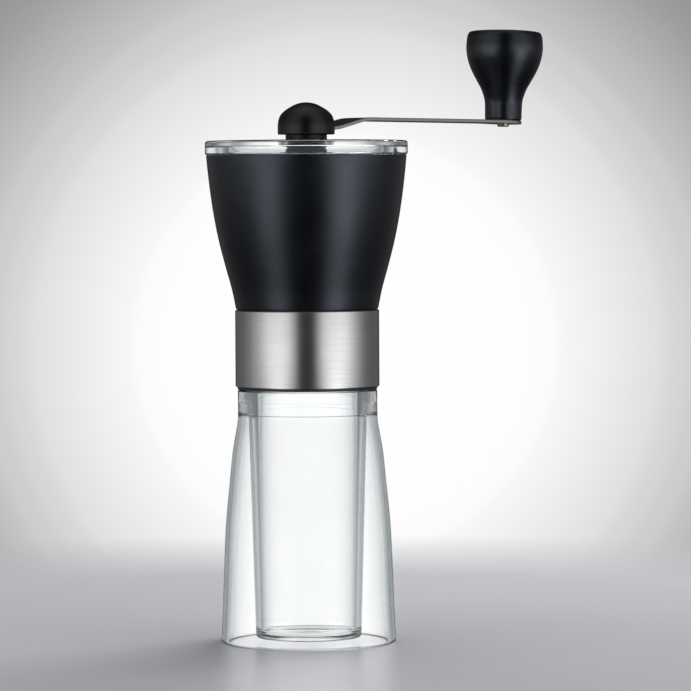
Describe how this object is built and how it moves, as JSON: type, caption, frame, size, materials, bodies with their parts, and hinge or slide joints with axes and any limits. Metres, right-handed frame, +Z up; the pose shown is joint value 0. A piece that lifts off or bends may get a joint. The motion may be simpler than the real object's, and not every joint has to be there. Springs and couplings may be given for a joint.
{
  "type": "hand crank coffee grinder",
  "caption": "Hand coffee grinder: clear double wall cup, screw-on mill with steel band and black bean hopper, clear lid, and a long crank with a turning knob.",
  "frame": {"origin": "on the table, under the body's axis, in the plane the cup's rim stands on", "axes": "+Z up along the body's axis, +X from the axis along the crank arm to the knob"},
  "size_m": [0.1506, 0.0728, 0.2222],
  "materials": {
    "clear_plastic": "clear, polished",
    "lid_plastic": "clear, polished",
    "seal_rubber": "soft matte",
    "collar_plastic": "moulded satin",
    "hopper_plastic": "satin",
    "hub_plastic": "satin",
    "knob_plastic": "satin",
    "washer_plastic": "plain",
    "band_steel": "fine satin, turned",
    "arm_steel": "satin",
    "shaft_steel": "turned",
    "screw_steel": "plain",
    "bush_brass": "turned",
    "burr_ceramic": "matte, ground"
  },
  "bodies": {
    "cup": {"cup_inner": "clear_plastic", "cup_skirt": "clear_plastic"},
    "seal": {"cup_gasket": "seal_rubber"},
    "mill": {"thread_collar": "collar_plastic", "steel_band": "band_steel", "hopper": "hopper_plastic", "shaft_spider": "collar_plastic", "lower_bush": "bush_brass", "upper_bush": "bush_brass", "ring_burr": "burr_ceramic", "housing_screw_1": "screw_steel", "housing_screw_2": "screw_steel", "housing_screw_3": "screw_steel"},
    "lid": {"lid": "lid_plastic"},
    "crank": {"hub_cap": "hub_plastic", "hub_socket": "shaft_steel", "hub_clip": "collar_plastic", "arm": "arm_steel", "knob_pin": "arm_steel", "knob_washer": "screw_steel"},
    "knob": {"knob_body": "knob_plastic", "knob_cap": "knob_plastic"},
    "drive": {"shaft": "shaft_steel", "shaft_collar": "shaft_steel", "collar_screw": "screw_steel", "thrust_washer": "washer_plastic", "shaft_clip": "screw_steel", "spring_seat": "screw_steel", "burr_spring": "screw_steel"},
    "cone": {"cone_burr": "burr_ceramic"},
    "nut": {"adjuster_nut": "collar_plastic"}
  },
  "joints": [
    {"name": "mill_travel", "type": "slide", "parent": "cup", "child": "seal", "axis": [0, 0, 1], "range_m": [0, 0.008]},
    {"name": "mill_turn", "type": "hinge", "parent": "seal", "child": "mill", "pos_m": [0, 0, 0.0975], "axis": [0, 0, 1], "range_deg": [0, 720]},
    {"name": "lid_lift", "type": "slide", "parent": "mill", "child": "lid", "axis": [0, 0, 1], "range_m": [0, 0.06]},
    {"name": "crank_turn", "type": "hinge", "parent": "lid", "child": "crank", "pos_m": [0, 0, 0.1775], "axis": [0, 0, 1], "continuous": true},
    {"name": "knob_spin", "type": "hinge", "parent": "crank", "child": "knob", "pos_m": [0.0989, 0, 0.1876], "axis": [0.0314, 0, 0.9995], "continuous": true},
    {"name": "shaft_spin", "type": "hinge", "parent": "mill", "child": "drive", "pos_m": [0, 0, 0.1275], "axis": [0, 0, 1], "continuous": true},
    {"name": "burr_travel", "type": "slide", "parent": "drive", "child": "cone", "axis": [0, 0, -1], "range_m": [0, 0.0015], "deforming": ["burr_spring"]},
    {"name": "nut_turn", "type": "hinge", "parent": "cone", "child": "nut", "pos_m": [0, 0, 0.1], "axis": [0, 0, -1], "range_deg": [0, 540]}
  ],
  "couplings": [
    {"joint": "mill_travel", "follows": "mill_turn", "m_per_rad": 0.00063662},
    {"joint": "shaft_spin", "follows": "crank_turn", "ratio": 1},
    {"joint": "nut_turn", "follows": "burr_travel", "rad_per_m": 6283.2}
  ]
}
